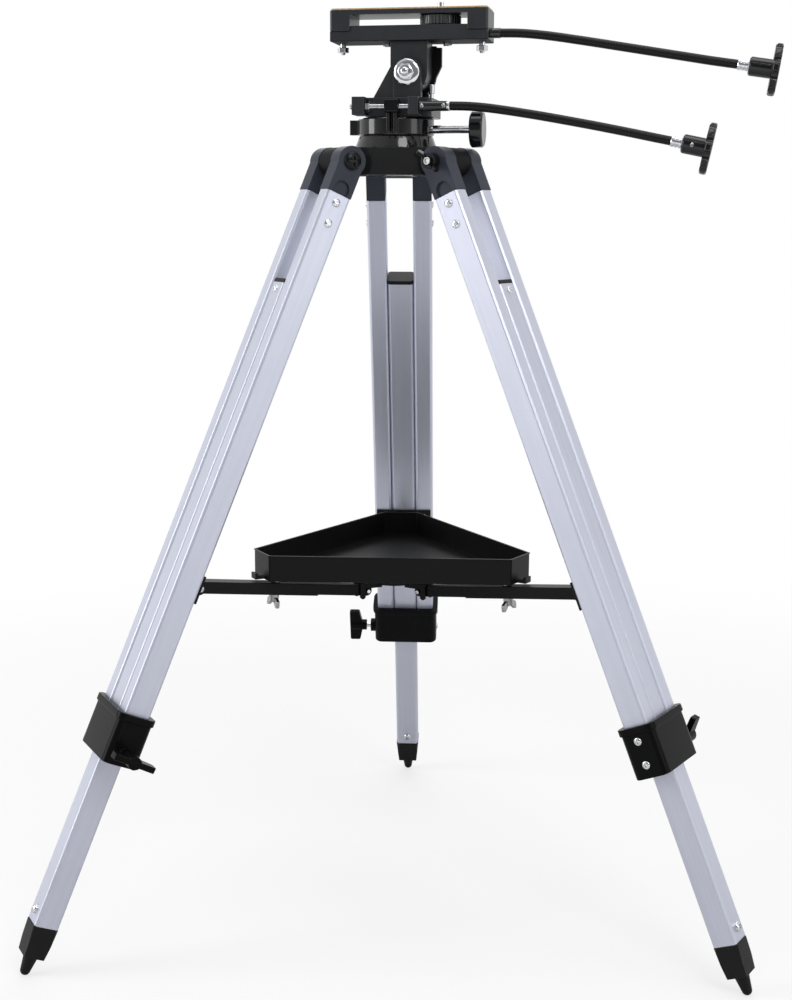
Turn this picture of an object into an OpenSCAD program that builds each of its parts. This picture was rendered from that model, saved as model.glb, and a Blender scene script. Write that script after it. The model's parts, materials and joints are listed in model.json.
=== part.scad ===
// Alt azimuth telescope mount on a folding aluminium tripod with an accessory tray.
// Millimetres, +Z up, +X along the saddle, the front faces -Y and the floor is at z = 0.

/* [Tripod stance] */
// Radius of the circle through the three foot balls
foot_circle_r = 398; // [350:2:450]
// Height of the leg hinges above the floor
hinge_height = 773; // [720:1:840]
// Distance of the leg hinges from the azimuth axis
hinge_r = 64; // [63:0.5:70]
// Turn of the tripod under the head, in degrees
tripod_turn = 8.5; // [0:0.5:20]

/* [Legs] */
// Width of one leg rail
rail_w = 19.5; // [17:0.5:24]
// Depth of one leg rail, from the outside of the leg to its inside
rail_d = 26; // [24:0.5:30]
// Gap between the two rails of a leg
rail_gap = 28.5; // [26:0.5:32]
// Wall of the rail and inner tube extrusions
tube_wall = 1.5; // [1:0.1:2.5]
// Corner chamfer of the extrusions
tube_chamfer = 2.2; // [1.5:0.1:3]
// Distance along the leg from the hinge to the rail tops
rail_start = 34; // [30:1:42]
// Length of the rails
rail_len = 556; // [500:2:600]
// Radius of the hinge lugs
lug_r = 14.25; // [13.5:0.25:15.5]
// Depth that the lug plugs reach into the rails
lug_plug = 40; // [25:1:60]
// Diameter of the hinge bolts
hinge_bolt_d = 8; // [6:0.5:9]
// Depth of the inner tube
inner_d = 24.5; // [20:0.5:25]
// Length of the inner tube
inner_len = 660; // [560:2:700]
// Height of the cap on the inner tube
cap_h = 4; // [3:0.5:8]
// Height of the socket of the foot under the tube end
foot_socket_h = 32; // [26:0.5:34]
// Length of the foot from the tube end to the centre of its ball
foot_len = 47.5; // [40:0.5:60]
// Radius of the ball that a foot stands on
foot_ball_r = 5; // [4:0.25:7]

/* [Leg clamps] */
// Height of the clamp body
clamp_h = 50; // [44:1:60]
// Part of the clamp body that grips the rail ends
clamp_grip = 24; // [18:1:28]
// Wall of the clamp body round the rails
clamp_wall = 4; // [3:0.25:6]
// Corner radius of the clamp body
clamp_corner = 8; // [6:0.5:9]
// Height of the boss that the clamp screw goes through
clamp_boss_h = 6; // [4:0.5:8]
// Span of the wing grips on the clamp screws
grip_span = 43; // [36:1:48]
// Diameter of the wing screws on clamps, arms and hinges
wing_screw_d = 6; // [5:0.25:7]

/* [Spreader and tray] */
// Distance along the leg from the hinge to the bracket pin
bracket_along = 434.5; // [400:1:460]
// Thickness of the bracket sheet
bracket_t = 2.5; // [1.5:0.25:3]
// Width of a spreader arm
arm_w = 16; // [14:0.5:20]
// Height of a spreader arm
arm_h = 12; // [10:0.5:13]
// Wall of the arm channel
arm_wall = 1.8; // [1.2:0.1:2.5]
// Thickness of the tongue at the inner end of an arm
tongue_w = 11; // [9:0.25:11.5]
// Diameter of the pins at both ends of an arm
arm_pin_d = 4.5; // [4:0.25:5]
// Distance of the inner arm pins from the azimuth axis
centre_pin_r = 34; // [34:0.5:36]
// Drop of the inner arm pins below the bracket pins
arm_drop = 23; // [20:1:30]
// Distance of the tray corner edges from the azimuth axis
tray_r = 148; // [140:1:155]
// Half length of the tray corner edges
tray_corner = 19; // [14:1:24]
// Height of the tray walls
tray_h = 26; // [18:1:32]
// Thickness of the tray sheet
tray_t = 1.5; // [1:0.1:2]
// Width of the lip round the tray rim
tray_lip = 0.8; // [0.5:0.1:2]

/* [Azimuth head] */
// Drop of the hub underside below the leg hinges
hub_drop = 12.5; // [12.5:0.25:18]
// Height of the hub block under its flange
hub_h = 26.5; // [26.5:0.5:32]
// Height of the hub flange
flange_h = 11; // [8:0.5:14]
// Radius of the flange at its lower edge
flange_r = 40.5; // [39:0.5:44]
// Radius of the azimuth collar and of the flange top
collar_r = 37.5; // [36:0.5:39]
// Height of the azimuth collar
collar_h = 18; // [16:0.5:22]
// Radius of the azimuth spigot
spigot_r = 14; // [12:0.5:16]
// Radius of the clamp wheel
wheel_r = 17.5; // [14:0.5:17.5]
// Thickness of the clamp wheel
wheel_t = 13; // [10:0.5:16]
// Distance of the clamp wheel from the azimuth collar
wheel_reach = 37; // [34:0.5:42]
// Height of the yoke base
yoke_base_h = 18; // [17:0.5:22]
// Distance of the tangent screws' front from the azimuth axis
tangent_r = 40; // [38:0.5:44]
// Diameter of both tangent screws
tangent_d = 6; // [5:0.25:7]

/* [Altitude head] */
// Offset of the altitude axis from the azimuth axis, along the saddle
alt_x = 15.5; // [12:0.5:18]
// Height of the altitude axis above the yoke base
alt_rise = 24; // [24:0.5:30]
// Radius of the yoke ears
ear_r = 13.7; // [12:0.25:15]
// Thickness of the yoke ears
ear_t = 8.4; // [7:0.2:10]
// Width of the pivot block
block_w = 36.4; // [32:0.2:38]
// Depth of the pivot block between the ears
block_d = 28; // [24:0.5:32]
// Thickness of the altitude tangent arm
tangent_arm_t = 5.8; // [5:0.2:7]
// Diameter of the altitude bolt
alt_bolt_d = 8; // [7:0.5:9]
// Height of the tilt bar above the altitude axis
bar_rise = 30; // [30:0.5:34]
// Height of the tilt bar ends
bar_end_h = 9.5; // [8:0.25:10]
// Height of the tilt bar between the saddle feet
bar_mid_h = 14.5; // [14:0.25:16]
// Length of the saddle
saddle_l = 155; // [150:1:170]
// Depth of the saddle, front to back
saddle_d = 45; // [43:0.5:50]
// Length of the two saddle feet
saddle_foot = 20; // [18:0.5:21]
// Height of the finger window under the saddle plate
window_h = 10.3; // [10:0.1:12]
// Thickness of the saddle plate
plate_t = 4.5; // [4:0.25:6]
// Thickness of the cork pad
cork_t = 1.5; // [1:0.1:2.5]
// Distance between the two ring bolts
ring_bolt_gap = 138; // [136:0.5:140]
// Diameter of the ring bolts
ring_bolt_d = 6; // [5:0.25:7]
// Length of the ring bolt shank that hangs free under the tilt bar
ring_bolt_drop = 4; // [3:0.5:6]
// Offset of the camera screw from the saddle centre
camera_x = 28; // [20:0.5:32]
// Diameter of the camera screw
camera_screw_d = 6.35; // [6:0.05:6.5]
// Reach of the camera screw above the cork
camera_screw_reach = 6.4; // [4:0.1:8]
// Radius of the camera knob
camera_knob_r = 20; // [16:0.5:20]

/* [Slow motion cables] */
// Diameter of the vinyl cable covers
cable_d = 8.5; // [7:0.25:9]
// Radius of the scalloped knob discs
knob_r = 24.5; // [22:0.5:27]
// Thickness of the knob discs
knob_t = 7; // [5:0.5:9]
// Length of the knob hubs behind the discs
knob_hub_l = 21; // [16:0.5:26]
// Length of the cable ferrules
ferrule_l = 9; // [7:0.5:12]

/* [Clearances] */
// Gap between faces that pass each other
slide_gap = 0.3; // [0.25:0.05:0.4]
// Radial gap of turning shafts
run_gap = 0.05; // [0.02:0.01:0.08]
// Gap of parts that are pushed together and bolted
fit_gap = 0.1; // [0.05:0.05:0.15]

/* [Hidden] */
$fn = 48;
LEGS = ["left", "right", "rear"];
LEG_TURNS = [for (a = [210, 330, 90]) a + tripod_turn];

// Colours as photographed
silver = "#b9bcc2";
charcoal = "#2b2c2f";
gloss_black = "#131315";
satin_black = "#1e1f21";
chrome = "#c9ccd0";
beige = "#c9a878";

// Leg geometry, measured along the leg from its hinge
leg_angle = atan((foot_circle_r - hinge_r) / (hinge_height - foot_ball_r));
leg_len = norm([foot_circle_r - hinge_r, hinge_height - foot_ball_r]);
rail_end = rail_start + rail_len;
rail_y = (rail_gap + rail_w) / 2;
leg_w = rail_gap + 2 * rail_w;
leg_half = leg_w / 2;
inner_w = rail_gap - 5 * slide_gap;
inner_end = leg_len - foot_len;
inner_start = inner_end - inner_len;
plug_play = tube_wall + fit_gap;
screw_head_r = 4;
screw_head_h = 2;
rail_screw_at = 9;
rail_screw_pitch = 21;
tongue_r = lug_r - 0.5;
hinge_head_r = 8.5;
hinge_head_h = 4.5;
hinge_nut_l = 11;

// Clamp geometry
clamp_start = rail_end - clamp_grip;
clamp_end = clamp_start + clamp_h;
clamp_w = leg_w + 2 * clamp_wall;
clamp_d = rail_d + 2.5 * clamp_wall;
clamp_lip_h = 7;
clamp_lip = 1.8;
clamp_screw_at = (rail_end + clamp_end) / 2;
wing_screw_r = wing_screw_d / 2;
grip_gap = 5;
grip_hub_r = 6.5;
grip_hub_h = 5.7;
grip_root = 15;
grip_tip = 12;
grip_t = 6;

// How far each leg's clamp screw is turned
GRIP_TURNS = [175, 131, 90];

// Spreader geometry: pins in the plane of each leg, as radius and height
bracket_in = rail_d / 2 + bracket_t + arm_h / 2 + 0.5;
bracket_r = hinge_r + bracket_along * sin(leg_angle) - bracket_in * cos(leg_angle);
bracket_z = hinge_height - bracket_along * cos(leg_angle) - bracket_in * sin(leg_angle);
centre_pin_z = bracket_z - arm_drop;
arm_l = norm([bracket_r - centre_pin_r, arm_drop]);
arm_slope = atan(arm_drop / (bracket_r - centre_pin_r));
tongue_l = 62;
tongue_end_r = arm_h / 2 - 0.5;
arm_pin_r = arm_pin_d / 2;
tray_screw_inset = 14;
tray_screw_at = (bracket_r - tray_r + tray_screw_inset) / cos(arm_slope);
tray_z = bracket_z + 1.2;
tray_rise = tray_z - bracket_z;
tray_screw_tip = tray_rise / cos(arm_slope) + tray_screw_at * tan(arm_slope) - 2 * slide_gap;
plate_disc_r = centre_pin_r - 9;
plate_disc_t = 3;
bracket_half = 14;

// Head levels
hub_z = hinge_height - hub_drop;
flange_z = hub_z + hub_h;
collar_z = flange_z + flange_h;
yoke_z = collar_z + collar_h;
base_top = yoke_z + yoke_base_h;
alt_z = base_top + alt_rise;
bar_z = alt_z + bar_rise;
split_z = bar_z + bar_end_h;
bar_top = bar_z + bar_mid_h;
plate_z = bar_top + window_h;
cork_z = plate_z + plate_t;
saddle_top = cork_z + cork_t;

// Azimuth drive
azimuth_screw_z = yoke_z + yoke_base_h / 2;
tangent_screw_r = tangent_d / 2;
clamp_shaft_r = 4;
clamp_z = max(collar_z + clamp_shaft_r + 2.5, hinge_height + lug_r + wheel_r + 1.5 * slide_gap);
wheel_x = collar_r + wheel_reach;
fork_gap = 4;
fork_t = 3;
fork_pin_r = fork_gap / 2 - slide_gap;
nut_half = 6.6;
nut_x = 4;
block_left = [-34.5, -22.5];
block_right = [20.5, 30.2];
sleeve_end = 60;
sleeve_r = cable_d / 2 + 0.6;

// Altitude drive
ear_in = (block_d + tangent_arm_t + 4 * slide_gap) / 2;
ear_out = ear_in + ear_t;
stop_r = 3.7;
stop_x = alt_x + block_w / 2 + stop_r / 2;
block_front = -ear_in + slide_gap;
block_back = block_front + block_d;
tangent_arm_y = block_back + slide_gap;
bar_d = saddle_d - 3;
bar_left = alt_x - saddle_l / 2;
bar_right = alt_x + saddle_l / 2;
altitude_screw_z = bar_z + tangent_screw_r + 3.5;
altitude_screw_y = -ring_bolt_d / 2 - tangent_screw_r - 3.5;
tangent_arm_r = alt_rise - 2;
tangent_arm_tongue = 7;
alt_nut_half = 5.8;
alt_nut_travel = 4.5;
alt_sleeve_l = 10.5;

// Routes of the two cables in the head's own X and Z, seen from the front
ALTITUDE_ROUTE = [
    [104, 894.5], [122, 894], [140, 892.4], [158, 890], [176, 887.2], [194, 884.3], [212, 881.3],
    [230, 878.3], [248, 875.3], [266, 872.3], [284, 869.3], [302, 866.3], [328, 862.4]
];
AZIMUTH_ROUTE = [
    [60.3, 825], [78, 824.5], [95, 823], [112, 820.7], [129, 818.1], [146, 815.3], [163, 812.3],
    [180, 809.2], [197, 806], [214, 802.7], [231, 799.3], [248, 795.8], [270, 791.3]
];

// The azimuth axis stands where the middle of the foot circle's box is the origin
FOOT_X = [for (a = LEG_TURNS) foot_circle_r * cos(a)];
FOOT_Y = [for (a = LEG_TURNS) foot_circle_r * sin(a)];
axis_x = -(max(FOOT_X) + min(FOOT_X)) / 2;
axis_y = -(max(FOOT_Y) + min(FOOT_Y)) / 2;

LEG_NODES = [
    "rails", "lugs", "leg_screws", "pivot_wing_nut", "leg_clamp", "clamp_screw", "inner_leg",
    "inner_cap", "foot", "bracket", "arm", "tray_screw"
];
HEAD_NODES = [
    "hub", "hinge_bolts", "azimuth_bolt", "centre_plate", "tray", "azimuth_collar", "clamp_knob",
    "yoke", "yoke_bolts", "azimuth_screw", "azimuth_nut", "azimuth_cable", "azimuth_knob",
    "altitude_arm", "tilt_bar", "altitude_screw", "altitude_nut", "altitude_cable", "altitude_knob",
    "saddle", "cork_pad", "camera_knob", "ring_bolt_left", "ring_bolt_right"
];

// Placing

module at_axis() translate([axis_x, axis_y, 0]) children();

// A leg's own plane: X outwards from the azimuth axis
module leg_plane(i) at_axis() rotate([0, 0, LEG_TURNS[i]]) children();

// Along a leg: the hinge at the origin, the foot at -Z, X outwards, Y to its wing screw side
module leg_frame(i)
    leg_plane(i) translate([hinge_r, 0, hinge_height]) rotate([0, -leg_angle, 0]) children();

// Along a spreader arm: the bracket pin at the origin, the centre at -X
module arm_frame(i)
    leg_plane(i) translate([bracket_r, 0, bracket_z]) rotate([0, -arm_slope, 0]) children();

// Shared shapes

module both_sides() {
    children();
    mirror([0, 1, 0]) children();
}

// Extrudes an outline drawn in X and Z from y0 to y1
module along_y(y0, y1) translate([0, y1, 0]) rotate([90, 0, 0]) linear_extrude(y1 - y0) children();

module rod_x(x0, x1, r) translate([x0, 0, 0]) rotate([0, 90, 0]) cylinder(h = x1 - x0, r = r);

module rod_y(y0, y1, r) translate([0, y0, 0]) rotate([-90, 0, 0]) cylinder(h = y1 - y0, r = r);

module box(low, high) translate(low) cube(high - low);

// Rectangle with cut corners, centred
module section(dx, dy, c) {
    x = dx / 2;
    y = dy / 2;
    polygon([
        [x, y - c], [x - c, y], [c - x, y], [-x, y - c], [-x, c - y], [c - x, -y], [x - c, -y], [x, c - y]
    ]);
}

module tube_section(dx, dy) difference() {
    section(dx, dy, tube_chamfer);
    section(dx - 2 * tube_wall, dy - 2 * tube_wall, tube_chamfer - 0.586 * tube_wall);
}

function unit(v) = v / norm(v);

// Points of an arc that rounds corner b between a and c
function corner_arc(a, b, c, r, steps) =
    let(
        u = unit(a - b),
        v = unit(c - b),
        half = acos(u * v) / 2,
        m = b + unit(u + v) * r / sin(half),
        s = b + u * r / tan(half) - m,
        start = atan2(s[1], s[0])
    )
    [for (k = [0:steps]) let(a = start + k * (180 - 2 * half) / steps) m + r * [cos(a), sin(a)]];

// A convex outline, anticlockwise, with its corners rounded
function rounded(p, r, steps = 4) =
    let(n = len(p))
    [for (i = [0:n - 1]) each corner_arc(p[(i + n - 1) % n], p[i], p[(i + 1) % n], r, steps)];

function rectangle(x0, y0, x1, y1) = [[x0, y0], [x1, y0], [x1, y1], [x0, y1]];

// Wing head on +Z: a round hub with two wings
module wing_head(hub_r, hub_h, span, rise) {
    cylinder(h = hub_h, r = hub_r);
    wing = [[hub_r / 2, 1], [span, rise - 9], [span, rise], [hub_r / 2, hub_h - 0.5]];
    for (turn = [0, 180])
        rotate([0, 0, turn])
            along_y(-1.6, 1.6) polygon(rounded(wing, 2));
}

// Domed screw head on +Z with a cross recess
module screw_head(r, h) difference() {
    dome = [for (a = [0:18:90]) [r * cos(a), h * (0.3 + 0.7 * sin(a))]];
    rotate_extrude() polygon(concat([[0, 0], [r, 0]], dome));
    for (turn = [0, 90])
        rotate([0, 0, turn])
            translate([-r * 0.6, -r * 0.12, h * 0.5]) cube([r * 1.2, r * 0.24, h]);
}

// Tube swept along points in the XZ plane
module swept_tube(route, d, sides = 12) {
    n = len(route);
    rings = [
        for (i = [0:n - 1])
            let(
                t = unit(route[min(i + 1, n - 1)] - route[max(i - 1, 0)]),
                level = i == 0 ? [1, 0] : t
            )
            for (k = [0:sides - 1])
                let(a = 360 * k / sides)
                [
                    route[i][0] - level[1] * d / 2 * sin(a),
                    d / 2 * cos(a),
                    route[i][1] + level[0] * d / 2 * sin(a)
                ]
    ];
    walls = [
        for (i = [0:n - 2])
            for (k = [0:sides - 1])
                let(a = i * sides + k, b = i * sides + (k + 1) % sides)
                each [[a, a + sides, b], [b, a + sides, b + sides]]
    ];
    first = [for (k = [0:sides - 1]) k];
    last = [for (k = [sides - 1:-1:0]) (n - 1) * sides + k];
    polyhedron(points = rings, faces = concat(walls, [first, last]), convexity = 4);
}

// Legs

module rails() color(silver)
    both_sides()
        translate([0, rail_y, -rail_end]) linear_extrude(rail_len) tube_section(rail_d, rail_w);

module lugs() color(charcoal) difference() {
    recess_r = 8;
    recess_t = 2.5;
    recess_at = rail_start - 5;
    ledge = 1;
    both_sides() {
        along_y(rail_gap / 2, leg_half) {
            circle(lug_r);
            translate([-rail_d / 2, -rail_start]) square([rail_d, rail_start]);
        }
        translate([0, rail_y, -rail_start - lug_plug])
            linear_extrude(lug_plug + 1)
                section(rail_d - 2 * plug_play, rail_w - 2 * plug_play, tube_chamfer);
    }
    rod_y(-leg_half - 1, leg_half + 1, hinge_bolt_d / 2 + run_gap);
    both_sides()
        along_y(leg_half - recess_t, leg_half + 1) {
            translate([0, -recess_at]) circle(recess_r);
            translate([-recess_r, -rail_start + ledge])
                square([2 * recess_r, rail_start - recess_at - ledge]);
        }
}

module leg_screws() color(chrome) {
    head_y = arm_w / 2 + slide_gap + bracket_t;
    translate([-bracket_in, 0, -bracket_along]) {
        rod_y(-head_y - 1, head_y + 1, arm_pin_r);
        both_sides()
            translate([0, head_y, 0]) rotate([-90, 0, 0]) screw_head(arm_pin_r + 2, screw_head_h + 1);
    }
    for (along = [0, rail_screw_pitch])
        both_sides()
            translate([0, leg_half, -rail_start - rail_screw_at - along])
                rotate([-90, 0, 0]) screw_head(screw_head_r, screw_head_h);
    for (side = [-1, 1])
        both_sides()
            translate([-rail_d / 2 - bracket_t, rail_y, -bracket_along + side * bracket_half / 2])
                rotate([0, -90, 0]) screw_head(screw_head_r - 1, screw_head_h);
    for (along = [clamp_start + 14, clamp_screw_at])
        translate([0, -clamp_w / 2, -along]) rotate([90, 0, 0]) screw_head(screw_head_r, screw_head_h);
}

module pivot_wing_nut() color(satin_black) difference() {
    translate([0, -leg_half - slide_gap, 0])
        rotate([90, 0, 0]) rotate([0, 0, -65]) wing_head(hinge_bolt_d / 2 + 3.5, 9, 14, 16);
    rod_y(-leg_half - 2 * hinge_nut_l, -leg_half, hinge_bolt_d / 2 + run_gap);
}

// Outline of the clamp body, grown outwards by g
module clamp_outline(g) {
    x = clamp_d / 2 + g;
    y = clamp_w / 2 + g;
    polygon(rounded(rectangle(-x, -y, x, y), clamp_corner + g));
}

module leg_clamp() color(gloss_black) difference() {
    union() {
        translate([0, 0, -clamp_end]) linear_extrude(clamp_h) clamp_outline(0);
        translate([0, 0, -clamp_start - clamp_lip_h])
            linear_extrude(clamp_lip_h) clamp_outline(clamp_lip);
        translate([0, 0, -clamp_screw_at])
            rod_y(clamp_w / 2 - 1, clamp_w / 2 + clamp_boss_h, wing_screw_r + 5);
    }
    translate([0, 0, -rail_end])
        linear_extrude(clamp_grip + 1) section(rail_d + 2 * fit_gap, leg_w + 2 * fit_gap, tube_chamfer);
    translate([0, 0, -clamp_end - 1])
        linear_extrude(clamp_h) section(inner_d + 2 * slide_gap, inner_w + 2 * slide_gap, tube_chamfer);
    translate([0, 0, -clamp_screw_at])
        rod_y(inner_w / 2, clamp_w / 2 + clamp_boss_h + 1, wing_screw_r + run_gap);
}

// Wing grip on +Z: a round hub that runs out into two thick wings
module wing_grip() {
    half = grip_span / 2;
    top = grip_hub_h + grip_root;
    outline = [
        [half, top - grip_tip], [half, top], [-half, top], [-half, top - grip_tip],
        [-grip_hub_r, grip_hub_h], [grip_hub_r, grip_hub_h]
    ];
    cylinder(h = top - 1, r = grip_hub_r);
    along_y(-grip_t / 2, grip_t / 2) polygon(rounded(outline, 2));
}

module clamp_screw(turn) color(satin_black) translate([0, 0, -clamp_screw_at]) {
    head_y = clamp_w / 2 + clamp_boss_h + grip_gap;
    rod_y(inner_w / 2 + slide_gap, head_y + 1, wing_screw_r);
    translate([0, head_y, 0]) rotate([-90, 0, 0]) rotate([0, 0, turn]) wing_grip();
}

module inner_leg() color(silver)
    translate([0, 0, -inner_end]) linear_extrude(inner_len) tube_section(inner_d, inner_w);

module inner_cap() color(charcoal) {
    plug = 18;
    translate([0, 0, -inner_start])
        linear_extrude(cap_h) section(inner_d, rail_gap - 2 * slide_gap, tube_chamfer);
    translate([0, 0, -inner_start - plug])
        linear_extrude(plug + 1) section(inner_d - 2 * plug_play, inner_w - 2 * plug_play, tube_chamfer);
}

// Side of the foot's socket, narrower at its lower end
module socket_side(w) {
    taper = 0.8;
    polygon([[-w / 2 * taper, -foot_socket_h], [w / 2 * taper, -foot_socket_h], [w / 2, 0], [-w / 2, 0]]);
}

module foot() color(charcoal) {
    plug = 26;
    socket_lip = 0.6;
    neck_r = 7.5;
    socket_d = inner_d + 2 * socket_lip;
    socket_w = inner_w + 2 * socket_lip;
    translate([0, 0, -inner_end]) {
        linear_extrude(plug) section(inner_d - 2 * plug_play, inner_w - 2 * plug_play, tube_chamfer);
        intersection() {
            along_y(-socket_w, socket_w) socket_side(socket_d);
            rotate([0, 0, 90]) along_y(-socket_d, socket_d) socket_side(socket_w);
            translate([0, 0, -foot_socket_h - 1])
                linear_extrude(foot_socket_h + 2) section(socket_d + 1, socket_w + 1, tube_chamfer + 2);
        }
    }
    translate([0, 0, -leg_len]) {
        cylinder(h = foot_len - foot_socket_h + 0.5, r1 = foot_ball_r, r2 = neck_r);
        sphere(foot_ball_r);
    }
}

// Spreader and tray

module bracket() color(satin_black) translate([0, 0, -bracket_along]) difference() {
    ear_y = arm_w / 2 + slide_gap;
    ear_h = arm_h / 2 + 1;
    back = -rail_d / 2;
    edge = leg_half - tube_chamfer;
    union() {
        box([back - bracket_t, -edge, -bracket_half], [back, edge, bracket_half]);
        both_sides()
            along_y(ear_y, ear_y + bracket_t) {
                translate([-bracket_in, 0]) circle(ear_h);
                polygon([
                    [-bracket_in, -ear_h], [back - 1, -bracket_half], [back - 1, ear_h],
                    [-bracket_in, ear_h]
                ]);
            }
    }
    translate([-bracket_in, 0, 0]) rod_y(-leg_half, leg_half, arm_pin_r + fit_gap);
}

module arm() color(satin_black) {
    channel_end = -arm_l + tongue_l - 6;
    difference() {
        union() {
            rod_y(-arm_w / 2, arm_w / 2, arm_h / 2);
            box([channel_end, -arm_w / 2, -arm_h / 2], [0, arm_w / 2, arm_h / 2]);
            along_y(-tongue_w / 2, tongue_w / 2) {
                translate([-arm_l, 0]) circle(tongue_end_r);
                translate([-arm_l, -tongue_end_r]) square([tongue_l, 2 * tongue_end_r]);
            }
        }
        box(
            [channel_end + 8, -arm_w / 2 + arm_wall, -arm_h],
            [arm_h, arm_w / 2 - arm_wall, arm_h / 2 - arm_wall]
        );
        rod_y(-arm_w, arm_w, arm_pin_r + run_gap);
        translate([-tray_screw_at, 0, 0]) cylinder(h = arm_h, r = wing_screw_r + run_gap);
    }
    translate([-arm_l, 0, 0]) rod_y(-tongue_w / 2 - 4.5, tongue_w / 2 + 4.5, arm_pin_r - 0.25);
}

module tray_screw() color(satin_black) translate([-tray_screw_at, 0, 0]) {
    under = arm_h / 2 - arm_wall - slide_gap;
    over = arm_h / 2 + slide_gap;
    translate([0, 0, -arm_h / 2 - 4]) cylinder(h = tray_screw_tip + arm_h / 2 + 4, r = wing_screw_r);
    translate([0, 0, over]) cylinder(h = tray_screw_tip - over - 0.5, r = wing_screw_r + 2);
    translate([0, 0, under]) mirror([0, 0, 1]) rotate([0, 0, 90]) {
        cylinder(h = under + arm_h / 2 + 1, r = 5);
        translate([0, 0, under + arm_h / 2 + 1]) wing_head(5, 7, 12.5, 14);
    }
}

// Corner points of the tray, grown outwards by g
function tray_outline(g) =
    let(
        edge = tray_r + g,
        side = tray_r * cos(60) + tray_corner * sin(60) + g,
        half = (side - edge * cos(60)) / sin(60)
    )
    [
        for (a = [90, 210, 330])
            for (s = [-half, half])
                [edge * cos(a) - s * sin(a), edge * sin(a) + s * cos(a)]
    ];

module tray() color(satin_black) at_axis() rotate([0, 0, tripod_turn]) translate([0, 0, tray_z]) {
    corner = 3;
    tab_w = 11;
    tab_h = 6;
    tab_end = tray_r + 9;
    difference() {
        union() {
            linear_extrude(tray_h) polygon(rounded(tray_outline(0), corner));
            translate([0, 0, tray_h - tray_lip])
                linear_extrude(tray_lip) polygon(rounded(tray_outline(tray_lip), corner));
            for (a = [90, 210, 330])
                rotate([0, 0, a])
                    along_y(-tab_w / 2, tab_w / 2)
                        polygon([
                            [tray_r - 1, 0], [tab_end, 0], [tab_end, tab_h], [tab_end - 2 * tray_t, tab_h],
                            [tab_end - 2 * tray_t, tray_t], [tray_r - 1, tray_t]
                        ]);
        }
        translate([0, 0, tray_t]) linear_extrude(tray_h) polygon(rounded(tray_outline(-tray_t), corner));
    }
}

module centre_plate() color(satin_black) at_axis() translate([0, 0, centre_pin_z]) {
    top = arm_h / 2;
    cheek_in = tongue_w / 2 + 1.5 * slide_gap;
    hook = centre_pin_r + arm_pin_r + 0.5;
    hook_w = 6;
    root = plate_disc_r - 7;
    cheek_top = top + plate_disc_t - 1;
    translate([0, 0, top]) cylinder(h = plate_disc_t, r = plate_disc_r);
    for (a = LEG_TURNS)
        rotate([0, 0, a])
            both_sides()
                along_y(cheek_in, cheek_in + bracket_t) {
                    polygon([
                        [root, arm_pin_r + 0.5], [hook, arm_pin_r + 0.5], [hook, -top + 1],
                        [hook + hook_w, -top + 1], [hook + hook_w, cheek_top], [root, cheek_top]
                    ]);
                    translate([hook + hook_w / 2, -top + 1]) circle(hook_w / 2);
                }
}

// Azimuth head

// Three-armed block with a flange and the spigot that the head turns on
module hub() color(gloss_black) at_axis() difference() {
    face_r = 38;
    face_half = 17;
    tongue_half = rail_gap / 2 - slide_gap;
    root_half = tongue_half - 1;
    pocket_wall = 14;
    outline = [
        for (a = LEG_TURNS)
            for (p = [
                [face_r, face_half, -60], [face_r + 9, -root_half, 0], [face_r + 9, root_half, 0],
                [face_r, -face_half, 60]
            ])
                [p[0] * cos(a + p[2]) - p[1] * sin(a + p[2]), p[0] * sin(a + p[2]) + p[1] * cos(a + p[2])]
    ];
    union() {
        translate([0, 0, hub_z]) linear_extrude(hub_h) polygon(outline);
        translate([0, 0, flange_z]) cylinder(h = flange_h, r1 = flange_r, r2 = collar_r - 1);
        translate([0, 0, collar_z]) cylinder(h = collar_h + yoke_base_h - 1, r = spigot_r);
        for (a = LEG_TURNS)
            rotate([0, 0, a])
                along_y(-tongue_half, tongue_half) {
                    translate([hinge_r, hinge_height]) circle(tongue_r);
                    translate([face_r, hinge_height - tongue_r]) square([hinge_r - face_r, 2 * tongue_r]);
                }
    }
    for (a = LEG_TURNS)
        rotate([0, 0, a])
            translate([hinge_r, 0, hinge_height]) rod_y(-leg_half, leg_half, hinge_bolt_d / 2 + fit_gap);
    translate([0, 0, hub_z - 1]) cylinder(h = hub_h / 2, r = face_r - pocket_wall);
}

module hinge_bolts() color(gloss_black)
    for (i = [0:2])
        leg_frame(i) {
            rod_y(-leg_half - slide_gap - hinge_nut_l, leg_half + slide_gap + 1, hinge_bolt_d / 2);
            translate([0, leg_half + slide_gap, 0])
                rotate([-90, 0, 0]) rotate([0, 0, 20]) screw_head(hinge_head_r, hinge_head_h);
        }

module azimuth_bolt() color(chrome) at_axis() translate([0, 0, base_top - 1]) {
    cylinder(h = 1.5 + slide_gap, r = spigot_r - 4);
    translate([0, 0, 1 + slide_gap]) cylinder(h = 1.2, r = spigot_r + 3);
    translate([0, 0, 2 + slide_gap]) cylinder(h = 2.6, r = 6.5, $fn = 6);
}

module azimuth_collar() color(gloss_black) at_axis() difference() {
    z0 = collar_z + slide_gap;
    z1 = yoke_z - slide_gap;
    c = 1.5;
    tab_x = collar_r + 8;
    union() {
        rotate_extrude()
            polygon([
                [spigot_r + run_gap, z0], [collar_r - c, z0], [collar_r, z0 + c], [collar_r, z1 - c],
                [collar_r - c, z1], [spigot_r + run_gap, z1]
            ]);
        box([-tab_x, -6, z0 + 1.5], [-collar_r + 3, 6, z1 - 1.5]);
        for (side = [-1, 1])
            translate([nut_x + side * (fork_gap + fork_t) / 2, 0, 0])
                box([-fork_t / 2, -tangent_r - 4, z0 + 3], [fork_t / 2, -collar_r + 4, azimuth_screw_z - 6]);
    }
    translate([0, 0, clamp_z]) rod_x(spigot_r, collar_r + 1, clamp_shaft_r + run_gap);
}

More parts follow.
